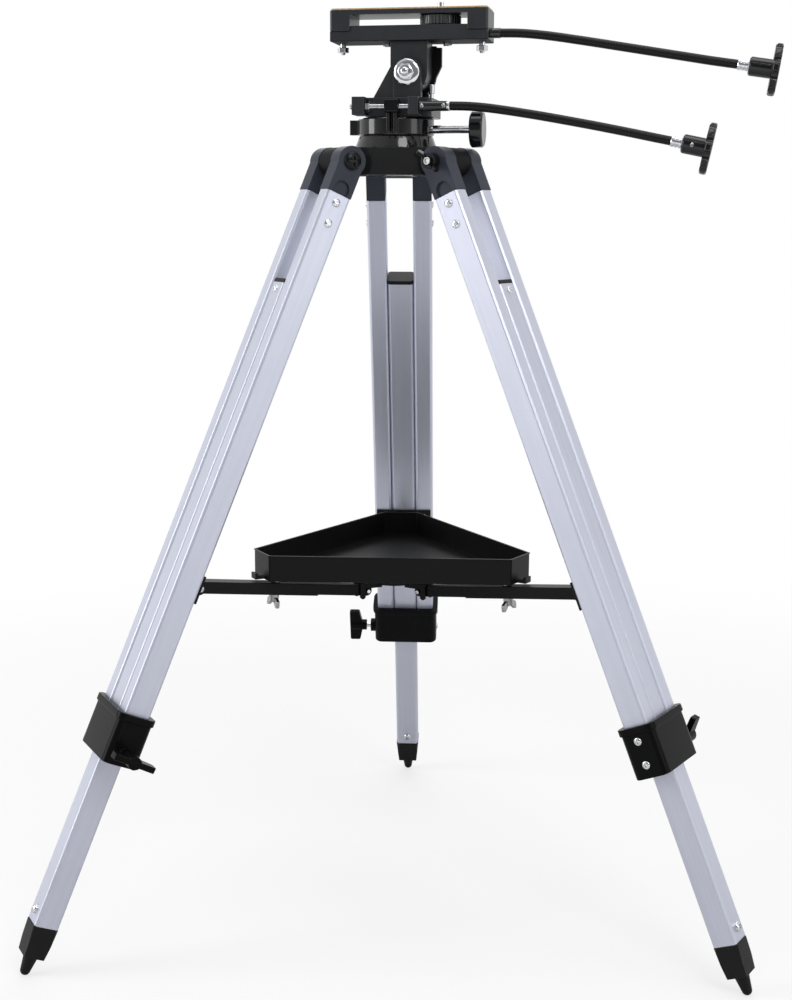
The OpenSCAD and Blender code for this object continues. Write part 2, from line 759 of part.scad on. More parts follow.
module clamp_knob() color(gloss_black) at_axis() translate([0, 0, clamp_z]) {
    rod_x(spigot_r + slide_gap, wheel_x + 2, clamp_shaft_r);
    translate([wheel_x, 0, 0]) rotate([0, 90, 0]) {
        rim = 3;
        c = 1.5;
        boss_r = clamp_shaft_r + 1.5;
        web = wheel_t / 2;
        rotate_extrude()
            polygon([
                [0, 1], [boss_r, 1], [boss_r, web], [wheel_r - rim, web], [wheel_r - rim, 0],
                [wheel_r - c, 0], [wheel_r, c], [wheel_r, wheel_t - c], [wheel_r - c, wheel_t], [0, wheel_t]
            ]);
        for (turn = [0:60:300])
            rotate([0, 0, turn])
                translate([boss_r - 1, -1.2, 2]) cube([wheel_r - rim - boss_r + 1.5, 2.4, web - 1]);
    }
}

module yoke() color(gloss_black) at_axis() difference() {
    z0 = yoke_z + slide_gap;
    front = -tangent_r + nut_half + 2;
    foot_left = -19;
    gusset_step = 2.5;
    foot_right = stop_x + stop_r + 1;
    union() {
        translate([0, 0, z0])
            linear_extrude(base_top - z0)
                polygon(rounded(rectangle(foot_left - 6, front, foot_right, ear_out + 3), 5));
        for (span = [block_left, block_right])
            translate([0, 0, azimuth_screw_z])
                box([span[0], -tangent_r - 7, -8], [span[1], front + 10, base_top - azimuth_screw_z]);
        both_sides() {
            along_y(ear_in, ear_out) {
                translate([alt_x, alt_z]) circle(ear_r);
                translate([alt_x - ear_r, base_top - 1]) square([2 * ear_r, alt_z - base_top + 1]);
            }
            along_y(ear_in, ear_out - gusset_step)
                polygon([
                    [foot_left, base_top - 1], [alt_x, base_top - 1], [alt_x, alt_z + 6],
                    [alt_x - ear_r - 3, alt_z + 6]
                ]);
        }
    }
    translate([0, 0, z0 - 1]) cylinder(h = yoke_base_h + 2, r = spigot_r + run_gap);
    translate([0, -tangent_r, azimuth_screw_z])
        rod_x(block_left[0] - 1, block_right[1] + 1, tangent_screw_r + run_gap);
    translate([alt_x, 0, alt_z]) rod_y(-ear_out - 1, ear_out + 1, alt_bolt_d / 2 + fit_gap);
}

module yoke_bolts() color(chrome) at_axis() {
    translate([alt_x, 0, alt_z]) {
        rod_y(-ear_out - 14, ear_out + 2, alt_bolt_d / 2);
        rod_y(-ear_out - 2, -ear_out, 12.3);
        translate([0, -ear_out - 2, 0]) rotate([90, 0, 0]) cylinder(h = 8, r = 8, $fn = 6);
        translate([0, ear_out, 0]) rotate([-90, 0, 0]) cylinder(h = 6, r = 8, $fn = 6);
    }
    translate([stop_x, -4, base_top]) {
        cylinder(h = 6, r = stop_r - 1.3);
        translate([0, 0, 5]) cylinder(h = 8.6, r = stop_r);
    }
}

module azimuth_screw() color(chrome) at_axis() translate([0, -tangent_r, azimuth_screw_z]) {
    rod_x(block_left[0] - 3, sleeve_end - 10, tangent_screw_r);
    translate([block_left[1] + slide_gap, 0, 0]) rotate([0, 90, 0]) cylinder(h = 4.6, r = 5.4, $fn = 6);
    rod_x(block_right[1] + slide_gap, sleeve_end, sleeve_r);
}

module azimuth_nut() color(satin_black)
    at_axis() translate([nut_x, -tangent_r, azimuth_screw_z]) difference() {
    union() {
        rotate([90, 0, 90])
            translate([0, 0, -nut_half])
                linear_extrude(2 * nut_half) polygon(rounded(rectangle(-nut_half, -5.7, nut_half, 7), 2));
        translate([0, 0, collar_z - azimuth_screw_z + 6])
            cylinder(h = azimuth_screw_z - collar_z - 8, r = fork_pin_r);
    }
    rod_x(-nut_half - 1, nut_half + 1, tangent_screw_r + run_gap);
}

// Cable cover with the ferrule at its far end
module cable(route) {
    swept_tube(route, cable_d);
    end_frame(route) rod_x(-1, ferrule_l, cable_d / 2 + 1);
}

// Turns +X along the end of a route
module end_frame(route) {
    n = len(route);
    t = route[n - 1] - route[n - 2];
    translate([route[n - 1][0], 0, route[n - 1][1]]) rotate([0, -atan2(t[1], t[0]), 0]) children();
}

// Scalloped hand knob behind the ferrule
module cable_knob(route)
    end_frame(route) translate([ferrule_l + slide_gap, 0, 0]) rotate([0, 90, 0]) difference() {
        scallops = 10;
        scallop_r = 6;
        hub_r = 9;
        c = 1.5;
        face = knob_hub_l + knob_t;
        rotate_extrude()
            polygon([
                [0, 0], [hub_r - c, 0], [hub_r, c], [hub_r, knob_hub_l], [knob_r - c, knob_hub_l],
                [knob_r, knob_hub_l + c], [knob_r, face - c], [knob_r - c, face], [hub_r + 2, face],
                [hub_r, face - c], [0, face - c]
            ]);
        for (k = [0:scallops - 1])
            rotate([0, 0, 360 * k / scallops])
                translate([knob_r + scallop_r / 2 + 0.5, 0, knob_hub_l - 1])
                    cylinder(h = knob_t + 2, r = scallop_r);
    }

module azimuth_cable() color(satin_black) at_axis() translate([0, -tangent_r, 0]) cable(AZIMUTH_ROUTE);

module azimuth_knob() color(gloss_black) at_axis() translate([0, -tangent_r, 0]) cable_knob(AZIMUTH_ROUTE);

// Altitude head

module altitude_arm() color(satin_black) at_axis() translate([alt_x, 0, alt_z]) difference() {
    shoulder = bar_rise - 2.5;
    wing = block_w / 2 + 9;
    tip = altitude_screw_z - alt_z + 5;
    along_y(tangent_arm_y, tangent_arm_y + tangent_arm_t) {
        circle(tangent_arm_r);
        translate([-tangent_arm_r, 0]) square([2 * tangent_arm_r, shoulder]);
        polygon([[0, 0], [block_w / 2, -10], [wing, 8], [wing, shoulder - 1.5], [0, shoulder - 1.5]]);
        translate([-tangent_arm_tongue, 0]) square([2 * tangent_arm_tongue, tip]);
    }
    rod_y(0, saddle_d, alt_bolt_d / 2 + run_gap);
    box([-2 - run_gap, 0, altitude_screw_z - alt_z - 4], [2 + run_gap, saddle_d, tip + 1]);
}

module tilt_bar() color(satin_black) at_axis() difference() {
    cavity = alt_nut_half + alt_nut_travel;
    pocket = tangent_arm_tongue + alt_nut_travel;
    ceiling = altitude_screw_z + alt_nut_half + 0.7;
    step = saddle_foot + slide_gap;
    arm_back = tangent_arm_y + tangent_arm_t + slide_gap;
    union() {
        box([bar_left, -bar_d / 2, bar_z], [bar_right, bar_d / 2, split_z]);
        box([bar_left + step, -bar_d / 2, bar_z], [bar_right - step, bar_d / 2, bar_top]);
        along_y(block_front, block_back) {
            translate([alt_x, alt_z]) circle(block_w / 2);
            translate([alt_x - block_w / 2, alt_z]) square([block_w, bar_rise + 1]);
        }
    }
    translate([alt_x, 0, alt_z]) rod_y(block_front - 1, block_back + 1, alt_bolt_d / 2 + run_gap);
    cavity_front = altitude_screw_y - alt_nut_half - 0.7;
    box([alt_x - cavity, cavity_front, bar_z], [alt_x + cavity, block_back, ceiling]);
    box([alt_x - pocket, block_back - 1, bar_z - 1], [alt_x + pocket, arm_back, ceiling]);
    translate([0, altitude_screw_y, altitude_screw_z])
        rod_x(alt_x - cavity - 8, bar_right + 1, tangent_screw_r + run_gap);
    for (side = [-1, 1])
        translate([alt_x + side * ring_bolt_gap / 2, 0, bar_z - 1])
            cylinder(h = bar_mid_h + 2, r = ring_bolt_d / 2 + run_gap);
}

module altitude_screw() color(chrome) at_axis() translate([0, altitude_screw_y, altitude_screw_z]) {
    rod_x(alt_x - alt_nut_half - alt_nut_travel - 7, bar_right + 2, tangent_screw_r);
    rod_x(bar_right + slide_gap, bar_right + slide_gap + alt_sleeve_l, cable_d / 2 + 0.6);
}

module altitude_nut() color(satin_black)
    at_axis() translate([alt_x, altitude_screw_y, altitude_screw_z]) difference() {
        union() {
            box(-alt_nut_half * [1, 1, 1], alt_nut_half * [1, 1, 1]);
            rod_y(alt_nut_half - 1, tangent_arm_y + tangent_arm_t - altitude_screw_y, 2);
        }
        rod_x(-alt_nut_half - 1, alt_nut_half + 1, tangent_screw_r + run_gap);
    }

module altitude_cable() color(satin_black)
    at_axis() translate([0, altitude_screw_y, 0]) cable(ALTITUDE_ROUTE);

module altitude_knob() color(gloss_black)
    at_axis() translate([0, altitude_screw_y, 0]) cable_knob(ALTITUDE_ROUTE);

// Outline of the saddle plate and of the cork, shrunk by g
module saddle_outline(g)
    polygon(rounded(rectangle(bar_left + g, -saddle_d / 2 + g, bar_right - g, saddle_d / 2 - g), 3));

module ring_bolt_holes(z0, z1, r)
    for (side = [-1, 1])
        translate([alt_x + side * ring_bolt_gap / 2, 0, z0]) cylinder(h = z1 - z0, r = r);

module saddle() color(satin_black) at_axis() difference() {
    union() {
        translate([0, 0, plate_z]) linear_extrude(plate_t) saddle_outline(0);
        translate([0, 0, split_z])
            linear_extrude(plate_z - split_z + 1)
                intersection() {
                    saddle_outline(0);
                    union() {
                        translate([bar_left, -saddle_d]) square([saddle_foot, 2 * saddle_d]);
                        translate([bar_right - saddle_foot, -saddle_d]) square([saddle_foot, 2 * saddle_d]);
                    }
                }
    }
    ring_bolt_holes(split_z - 1, cork_z + 1, ring_bolt_d / 2 + run_gap);
    translate([alt_x + camera_x, 0, plate_z - 1]) cylinder(h = plate_t + 2, r = camera_screw_d / 2 + fit_gap);
}

module cork_pad() color(beige) at_axis() difference() {
    translate([0, 0, cork_z]) linear_extrude(cork_t) saddle_outline(1);
    ring_bolt_holes(cork_z - 1, saddle_top + 1, ring_bolt_d / 2 + 1);
    translate([alt_x + camera_x, 0, cork_z - 1]) cylinder(h = cork_t + 2, r = camera_screw_d / 2 + 1);
}

module camera_knob() color(satin_black) at_axis() translate([alt_x + camera_x, 0, bar_top + slide_gap]) {
    ridges = 36;
    knob_h = window_h - 2 * slide_gap;
    c = 1;
    difference() {
        rotate_extrude()
            polygon([
                [0, 0], [camera_knob_r - c, 0], [camera_knob_r, c], [camera_knob_r, knob_h - c],
                [camera_knob_r - c, knob_h], [0, knob_h]
            ]);
        for (k = [0:ridges - 1])
            rotate([0, 0, 360 * k / ridges])
                translate([camera_knob_r + 0.5, 0, -1]) cylinder(h = knob_h + 2, r = 1.1);
    }
    neck_h = saddle_top - bar_top - slide_gap;
    cylinder(h = neck_h + 1, r = camera_screw_d / 2 - 0.5);
    translate([0, 0, neck_h]) cylinder(h = camera_screw_reach, r = camera_screw_d / 2);
}

module ring_bolt(side) color(chrome) at_axis() translate([alt_x + side * ring_bolt_gap / 2, 0, 0]) {
    head_h = 5;
    nub_h = 2;
    translate([0, 0, bar_z - ring_bolt_drop - head_h]) {
        cylinder(h = head_h, r = ring_bolt_d / 2 + 2.8, $fn = 6);
        cylinder(h = cork_z - bar_z + ring_bolt_drop + head_h, r = ring_bolt_d / 2);
        translate([0, 0, -nub_h])
            cylinder(h = nub_h + 1, r1 = ring_bolt_d / 2 - 1, r2 = ring_bolt_d / 2 + 0.5);
    }
}

// Drawing

for (i = [0:2]) {
    leg_frame(i) rails();
    leg_frame(i) lugs();
    leg_frame(i) leg_screws();
    leg_frame(i) pivot_wing_nut();
    leg_frame(i) leg_clamp();
    leg_frame(i) clamp_screw(GRIP_TURNS[i]);
    leg_frame(i) inner_leg();
    leg_frame(i) inner_cap();
    leg_frame(i) foot();
    leg_frame(i) bracket();
    arm_frame(i) arm();
    arm_frame(i) tray_screw();
}
hub();
hinge_bolts();
azimuth_bolt();
centre_plate();
tray();
azimuth_collar();
clamp_knob();
yoke();
yoke_bolts();
azimuth_screw();
azimuth_nut();
azimuth_cable();
azimuth_knob();
altitude_arm();
tilt_bar();
altitude_screw();
altitude_nut();
altitude_cable();
altitude_knob();
saddle();
cork_pad();
camera_knob();
ring_bolt(-1);  // ring_bolt_left
ring_bolt(1);  // ring_bolt_right
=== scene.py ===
# %% [markdown]
# # An alt azimuth mount on its folding tripod
# The object is a small telescope mount: a cork-faced saddle that tilts and turns, two tangent
# screws with flexible cables and hand knobs, and a folding tripod of anodised aluminium with a
# sheet steel tray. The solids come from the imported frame, in metres and in their final place.
# This lesson dresses them: edges are softened, small fasteners, a thread and the cables are
# added, and every piece gets a finish of its own.

# %% Load the frame
import json
import math
from functools import partial
import bmesh
import bpy
from mathutils import Matrix, Vector
from mathutils.kdtree import KDTree

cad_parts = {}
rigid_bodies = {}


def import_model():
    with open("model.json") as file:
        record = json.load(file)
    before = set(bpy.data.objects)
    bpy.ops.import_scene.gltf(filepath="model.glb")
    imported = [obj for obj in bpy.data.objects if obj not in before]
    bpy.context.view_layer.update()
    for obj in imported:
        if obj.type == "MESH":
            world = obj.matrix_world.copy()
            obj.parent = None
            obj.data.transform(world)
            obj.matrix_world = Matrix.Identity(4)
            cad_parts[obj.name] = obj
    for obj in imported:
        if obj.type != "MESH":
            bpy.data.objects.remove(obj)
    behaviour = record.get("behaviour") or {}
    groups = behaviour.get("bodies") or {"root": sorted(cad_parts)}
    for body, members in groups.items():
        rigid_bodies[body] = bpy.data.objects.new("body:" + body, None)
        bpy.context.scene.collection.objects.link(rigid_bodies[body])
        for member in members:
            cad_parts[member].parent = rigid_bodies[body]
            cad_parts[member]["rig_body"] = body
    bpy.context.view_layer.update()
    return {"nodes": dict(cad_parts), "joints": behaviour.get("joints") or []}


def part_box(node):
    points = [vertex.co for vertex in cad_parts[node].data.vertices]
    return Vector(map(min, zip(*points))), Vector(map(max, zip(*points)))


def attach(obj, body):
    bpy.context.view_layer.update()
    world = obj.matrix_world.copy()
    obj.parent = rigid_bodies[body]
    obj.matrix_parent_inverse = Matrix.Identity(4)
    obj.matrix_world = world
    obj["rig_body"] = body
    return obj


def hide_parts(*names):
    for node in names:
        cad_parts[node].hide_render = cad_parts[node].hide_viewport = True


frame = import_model()
nodes = frame["nodes"]
joints = {joint["name"]: joint for joint in frame["joints"]}
LEGS = ("left", "right", "rear")
MM = 0.001

# %% [markdown]
# ## The camera
# The photograph was taken from a little right of the front, from just below the height of the leg
# hinges, with a long normal lens. The place, the turn and the focal length come from matching
# corners of the saddle, the tray and the feet, so every length below is a plain measurement.

# %% Camera at the photograph's place
CAMERA_AT = Vector((0.2825, -1.6299, 0.7240))
CAMERA_YAW = math.radians(11.274)
CAMERA_DOWN = math.radians(10.357)
CAMERA_ROLL = math.radians(0.263)
FOCAL_PIXELS = 1568.0
PHOTO_HEIGHT = 1000.0
FILM_WIDTH = 36.0

scene = bpy.context.scene
lens = bpy.data.cameras.new("photo_lens")
lens.sensor_width = FILM_WIDTH
lens.lens = FOCAL_PIXELS * FILM_WIDTH / PHOTO_HEIGHT
lens.clip_start = 0.01
camera = bpy.data.objects.new("photo_camera", lens)
scene.collection.objects.link(camera)
scene.camera = camera
aim = Matrix.Rotation(CAMERA_YAW, 4, "Z") @ Matrix.Rotation(math.pi / 2 - CAMERA_DOWN, 4, "X")
camera.matrix_world = Matrix.Translation(CAMERA_AT) @ aim @ Matrix.Rotation(CAMERA_ROLL, 4, "Z")
print("lens", round(lens.lens, 2), "mm")

# %% [markdown]
# ## Shader sums
# A finish is easier to read as a sum than as a tangle of nodes. Value wraps a socket, and each
# plus, minus or times adds one Math node. Recipe holds a node tree, and its node method adds any
# other node with its settings and its inputs. Finish is the recipe of one material.

# %% A value that changes over a surface


class Value:
    """A number, vector or shader that comes out of a node."""

    def __init__(self, recipe, socket):
        self.recipe = recipe
        self.socket = socket

    def joined(self, operation, first, second):
        return self.recipe.node("ShaderNodeMath", {"operation": operation}, {0: first, 1: second})

    def __add__(self, other):
        return self.joined("ADD", self, other)

    __radd__ = __add__

    def __sub__(self, other):
        return self.joined("SUBTRACT", self, other)

    def __rsub__(self, other):
        return self.joined("SUBTRACT", other, self)

    def __mul__(self, other):
        return self.joined("MULTIPLY", self, other)

    __rmul__ = __mul__

    def larger(self, other):
        return self.joined("MAXIMUM", self, other)

    def step(self, low, high):
        """0 below low, 1 above high and smooth between."""
        settings = {"interpolation_type": "SMOOTHSTEP"}
        return self.recipe.node("ShaderNodeMapRange", settings, {"Value": self, 1: low, 2: high})


# %% Recipes of nodes


class Recipe:
    """A node tree that is filled one node at a time."""

    def __init__(self, tree):
        self.tree = tree

    def node(self, kind, settings=None, inputs=None, output=0):
        made = self.tree.nodes.new(kind)
        for key, value in (settings or {}).items():
            if key == "stops":
                self.set_stops(made.color_ramp, value)
            else:
                setattr(made, key, value)
        for key, value in (inputs or {}).items():
            self.feed(made.inputs[key], value)
        return Value(self, made.outputs[output]) if made.outputs else None

    def feed(self, socket, value):
        if isinstance(value, Value):
            self.tree.links.new(value.socket, socket)
        else:
            socket.default_value = value

    @staticmethod
    def set_stops(ramp, stops):
        while len(ramp.elements) < len(stops):
            ramp.elements.new(0.5)
        for element, (place, colour) in zip(ramp.elements, stops):
            element.position = place
            element.color = (*colour, 1)

    def ray(self, kind):
        """1 for rays of one kind, such as Is Camera Ray."""
        return self.node("ShaderNodeLightPath", output=kind)


class Finish(Recipe):
    """A material round one Principled shader."""

    def __init__(self, name):
        self.material = bpy.data.materials.new(name)
        self.material.use_nodes = True
        super().__init__(self.material.node_tree)
        self.shader = self.tree.nodes["Principled BSDF"]

    def place(self, turn=(0, 0, 0), scale=(1, 1, 1)):
        """Object coordinates, turned and stretched."""
        here = self.node("ShaderNodeTexCoord", output="Object")
        turned = self.node("ShaderNodeMapping", None, {"Vector": here, "Rotation": turn})
        return self.node("ShaderNodeMapping", None, {"Vector": turned, "Scale": scale})

    def noise(self, vector, scale, detail=2.0, rough=0.5):
        inputs = {"Vector": vector, "Scale": scale, "Detail": detail, "Roughness": rough}
        return self.node("ShaderNodeTexNoise", None, inputs, "Fac")

    def ramp(self, value, stops):
        return self.node("ShaderNodeValToRGB", {"stops": stops}, {"Fac": value}, "Color")

    def bump(self, height, distance, strength=1.0):
        inputs = {"Height": height, "Distance": distance, "Strength": strength}
        return self.node("ShaderNodeBump", None, inputs, "Normal")

    def paint(self, **sockets):
        """Sets the shader's sockets by name, with _ for a space."""
        for name, value in sockets.items():
            self.feed(self.shader.inputs[name.replace("_", " ")], value)
        return self.material


# %% [markdown]
# ## Studio light
# The object stands in a white product studio. To the camera everything round it is white. Metal
# and gloss mirror the same white sweep behind and beside the object, but towards the camera the
# room is dim, and that is what lets black enamel look black and gives bright metal its contrast.
# Light on the object comes from a plain dome and five soft boxes: a tall one at each side, one
# high at the right of the camera, one behind and one above. Gloss shows them as bright patches.

# %% World
scene.view_settings.view_transform = "Standard"
DOME_LIGHT = 0.34
ROOM_LIGHT = 0.22
BESIDE, BEHIND = 0.5, 0.28
world = bpy.data.worlds.new("white_studio")
scene.world = world
world.use_nodes = True
world.node_tree.nodes.clear()
studio = Recipe(world.node_tree)
direction = studio.node("ShaderNodeTexCoord", output="Generated")
depth = studio.node("ShaderNodeSeparateXYZ", None, {0: direction}, "Y")
panels = BESIDE * depth.step(-0.95, -0.5) + BEHIND * depth.step(-0.3, 0.5)
mirrored = ROOM_LIGHT + (1 - ROOM_LIGHT) * panels
glossy = studio.ray("Is Glossy Ray")
seen = studio.ray("Is Camera Ray").larger(studio.ray("Is Transmission Ray"))
unseen = glossy * mirrored + (1 - glossy) * DOME_LIGHT
strength = seen + (1 - seen) * unseen
sky = studio.node("ShaderNodeBackground", None, {"Color": (1, 1, 1, 1), "Strength": strength})
studio.node("ShaderNodeOutputWorld", None, {"Surface": sky})
print("world nodes", len(world.node_tree.nodes))

# %% Soft boxes
MIDDLE = Vector((0, 0, 0.55))


def soft_box(name, place, size, watts):
    """A rectangular lamp that looks from its place to the middle of the object."""
    data = bpy.data.lights.new(name, "AREA")
    data.shape = "RECTANGLE"
    data.size, data.size_y = size
    data.energy = watts
    lamp = bpy.data.objects.new(name, data)
    scene.collection.objects.link(lamp)
    lamp.location = place
    lamp.rotation_euler = (MIDDLE - Vector(place)).to_track_quat("-Z", "Y").to_euler()


soft_box("left_strip", (-2.1, -0.9, 1.1), (0.8, 1.7), 22)
soft_box("right_soft_box", (1.2, -1.9, 2.3), (1.1, 0.9), 20)
soft_box("right_strip", (2.1, -1.0, 1.2), (0.8, 1.7), 6.5)
soft_box("back_strip", (-0.3, 2.1, 1.9), (2.4, 0.8), 12)
soft_box("top_soft_box", (0.1, -0.1, 2.7), (1.5, 1.5), 15)
print("lamps", len(bpy.data.lights))

# %% [markdown]
# ## Anodised aluminium
# Anodised extrusions are drawn through a die, so their streaks run along the leg: the noise is
# stretched in that direction, and each leg turns it to its own line. The oxide layer gives the
# metal a cool tint and a satin sheen.

# %% Anodised finishes, two for each leg
RAIL_LEVEL = 0.72
TUBE_LEVEL = 0.69
COOL_TINT = (0.92, 0.955, 1.11)


def leg_place(leg):
    """The leg's own frame: its hinge at the origin, Z up the leg, Y along the hinge bolt."""
    up = -Vector(joints[f"{leg}_leg_slide"]["axis"])
    across = Vector(joints[f"{leg}_leg_fold"]["axis"])
    turn = Matrix((across.cross(up), across, up)).transposed().to_4x4()
    return Matrix.Translation(joints[f"{leg}_leg_fold"]["pos_m"]) @ turn


def cool(level):
    """A grey with the cool tint of anodised metal."""
    return tuple(level * part for part in COOL_TINT)


def anodised(name, leg, level):
    finish = Finish(name)
    turn = tuple(leg_place(leg).to_3x3().inverted().to_euler())
    streaks = finish.noise(finish.place(turn, (1, 1, 0.004)), 2600, 4, 0.6)
    bands = finish.noise(finish.place(turn, (1, 1, 0.02)), 160, 2)
    cloud = finish.noise(finish.place(turn), 18, 3)
    tone = streaks * 0.5 + bands * 0.3 + cloud * 0.2
    return finish.paint(
        Base_Color=finish.ramp(tone, [(0.3, cool(level * 0.92)), (0.7, cool(level * 1.06))]),
        Metallic=0.55 + cloud * 0.1,
        Roughness=0.3 + streaks * 0.12 + cloud * 0.06,
        Normal=finish.bump(streaks, 0.00003, 0.25),
    )


rail_finish = {leg: anodised(f"anodised_rail_{leg}", leg, RAIL_LEVEL) for leg in LEGS}
tube_finish = {leg: anodised(f"anodised_tube_{leg}", leg, TUBE_LEVEL) for leg in LEGS}
print("anodised finishes", len(rail_finish) + len(tube_finish))

# %% [markdown]
# ## Blacks
# Black parts differ by gloss and grain. Enamel castings are glossy with a slight orange peel,
# sheet steel has a fine powder grain and moulded plastic is smooth or finely sparked. One darker
# black without gloss is painted shade, for faces that are to read as shaded and show no reflection.
# Each gets its own level, roughness and grain, and a little dust breaks up the gloss. A tint makes
# a black bluer: it leaves red alone and lifts green by a quarter of its share.

# %% Black finishes
TINT_SHARES = (0, 0.25, 1)
DARK_PART, PALE_PART = 0.8, 1.3


def blacks(name, level, gloss, grain, depth, tint=0.04, specular=0.4, coat=0.0):
    """A black coat: its level, roughness, grain per metre and grain depth in metres."""
    finish = Finish(name)
    here = finish.place()
    fine = finish.noise(here, grain, 3, 0.6)
    cloud = finish.noise(here, 45, 3)
    dust = finish.noise(here, 900, 2).step(0.66, 0.8)
    tone = fine * 0.35 + cloud * 0.5 + dust * 0.15
    low, high = [
        tuple(level * part * (1 + tint * share) for share in TINT_SHARES)
        for part in (DARK_PART, PALE_PART)
    ]
    return finish.paint(
        Base_Color=finish.ramp(tone, [(0.25, low), (0.75, high)]),
        Roughness=gloss + (cloud - 0.5) * 0.06 + dust * 0.05,
        Normal=finish.bump(fine, depth, 0.5),
        Specular_IOR_Level=specular,
        Coat_Weight=coat,
        Coat_Roughness=0.06,
    )


enamel = blacks("gloss_enamel_casting", 0.013, 0.12, 500, 0.00004, tint=0.12, coat=0.35)
satin_enamel = blacks("satin_enamel_casting", 0.026, 0.34, 1500, 0.00005, tint=0.25)
sheet_coat = blacks("satin_sheet_coat", 0.0045, 0.4, 2600, 0.00003, specular=0.16)
charcoal = blacks("charcoal_moulding", 0.041, 0.46, 3200, 0.00004, tint=0.55, specular=0.2)
dark_moulding = blacks("dark_moulding", 0.006, 0.42, 2400, 0.00003, specular=0.2)
clamp_moulding = blacks("clamp_moulding", 0.004, 0.26, 700, 0.00002, tint=0.1, specular=0.08)
ribbed_moulding = blacks("ribbed_moulding", 0.010, 0.2, 500, 0.00002, tint=0.3, specular=0.7)
gloss_moulding = blacks("gloss_moulding", 0.004, 0.14, 500, 0.00002, tint=0.5, specular=0.5)
vinyl = blacks("vinyl_cover", 0.005, 0.36, 1100, 0.00003, specular=0.25)
oxide = blacks("black_oxide", 0.006, 0.26, 1800, 0.00003, tint=0.2, specular=0.22)
# Painted shade: a darker black without gloss that makes faces read as shaded and hides their
# reflections.
painted_shade_black = blacks("painted_shade_dull_black", 0.008, 0.62, 1400, 0.00006, tint=0.2, specular=0.1)
print("finishes so far", len(bpy.data.materials))

# %% [markdown]
# ## Bright metal and cork
# Screws and nuts are zinc plated with a faint haze of rubbing, wing screws are bare cast zinc,
# and the saddle is faced with pressed cork: pale grains with dark flecks between them.

# %% Plating, cast zinc and cork


def bright_metal(name, low, high, gloss):
    finish = Finish(name)
    haze = finish.noise(finish.place(), 140, 3)
    rub = finish.noise(finish.place((0.4, 0.2, 0.7), (1, 6, 1)), 900, 3, 0.7)
    return finish.paint(
        Base_Color=finish.ramp(haze, [(0.3, low), (0.7, high)]),
        Metallic=1.0,
        Roughness=gloss + haze * 0.06 + rub * 0.05,
        Normal=finish.bump(rub, 0.00002, 0.3),
    )


def pressed_cork():
    finish = Finish("pressed_cork")
    here = finish.place()
    inputs = {"Vector": here, "Scale": 620}
    grains = finish.node("ShaderNodeTexVoronoi", {"feature": "F1"}, inputs, "Distance")
    fleck = finish.noise(here, 900, 3, 0.7)
    dark = fleck.step(0.58, 0.7)
    tone = grains * 0.6 + fleck * 0.4 - dark * 0.35
    stops = [(0.05, (0.14, 0.075, 0.03)), (0.3, (0.46, 0.30, 0.15)), (0.7, (0.66, 0.48, 0.28))]
    return finish.paint(
        Base_Color=finish.ramp(tone, stops),
        Roughness=0.9 - grains * 0.1,
        Normal=finish.bump(grains - dark * 0.5, 0.0003, 0.6),
    )


chrome = bright_metal("bright_plating", (0.68, 0.69, 0.72), (0.82, 0.83, 0.86), 0.05)
cast_zinc = bright_metal("cast_zinc", (0.30, 0.30, 0.31), (0.46, 0.46, 0.47), 0.3)
cork = pressed_cork()
print("finishes", len(bpy.data.materials))

# %% [markdown]
# ## Softened edges
# A cast, bent or moulded edge is never a knife edge: the thin bright line along it tells the eye
# how large the piece is. A copy of each solid's mesh is merged, its flat stretches are dissolved
# into single faces and its sharp edges get a small round. Where a wall is too narrow, a round
# folds faces over, so the round is made again without the edges at those corners. Neighbours whose
# normals have a product under OPPOSED are folded, and so is a triangle that is turned over and
# larger than SPECK, in square metres. CROWDED is the room round a fold, in widths of the round.

# %% Round the edges of a solid
FLAT = math.radians(0.6)
SHARP = math.radians(32)
MERGE = 2e-6
OPPOSED = -0.5
SPECK = 2e-10
ROUND_TRIES = 3
CROWDED = 1.2


def merged(node):
    """A node's mesh with its doubles merged and its flat stretches dissolved."""
    shape = bmesh.new()
    shape.from_mesh(nodes[node].data)
    bmesh.ops.remove_doubles(shape, verts=shape.verts, dist=MERGE)
    bmesh.ops.dissolve_limit(shape, angle_limit=FLAT, verts=shape.verts, edges=shape.edges)
    return shape


def folded(shape):
    """The corners of faces that lie folded over their neighbours."""
    corners = []
    for edge in shape.edges:
        normals = [face.normal for face in edge.link_faces]
        if len(normals) == 2 and normals[0].dot(normals[1]) < OPPOSED:
            corners += [v.co.copy() for v in edge.verts]
    for triangle in shape.calc_loop_triangles():
        a, b, c = (loop.vert.co for loop in triangle)
        if (b - a).cross(c - a).dot(triangle[0].face.normal) < -SPECK:
            corners += [a.copy(), b.copy(), c.copy()]
    return corners


def roomy(edges, tight, room):
    """The edges whose ends and middles keep some room from every tight corner."""
    if not tight:
        return edges
    corners = KDTree(len(tight))
    for index, corner in enumerate(tight):
        corners.insert(corner, index)
    corners.balance()

    def crowded(edge):
        start, end = (v.co for v in edge.verts)
        return any(corners.find(spot)[2] < room for spot in ((start + end) / 2, start, end))

    return [edge for edge in edges if not crowded(edge)]


def rounded(node, edge, segments):
    """Rounds a node's sharp edges by an edge in millimetres, where there is room."""
    tight = []
    for attempt in range(ROUND_TRIES):
        shape = merged(node)
        sharp = [e for e in shape.edges if len(e.link_faces) == 2 and e.calc_face_angle() > SHARP]
        bmesh.ops.bevel(
            shape, geom=roomy(sharp, tight, CROWDED * edge * MM), offset=edge * MM,
            offset_type="OFFSET", segments=segments, profile=0.5, affect="EDGES",
            clamp_overlap=False, material=-1,
        )
        folds = folded(shape)
        if not folds or attempt == ROUND_TRIES - 1:
            return shape
        tight += folds
        shape.free()


# %% [markdown]
# ## Dressing
# The rounded copy stands in for the solid and rides on the same body. A second finish can take
# the faces that a test picks, such as a bright shaft that carries a black wheel.

# %% Dress a solid


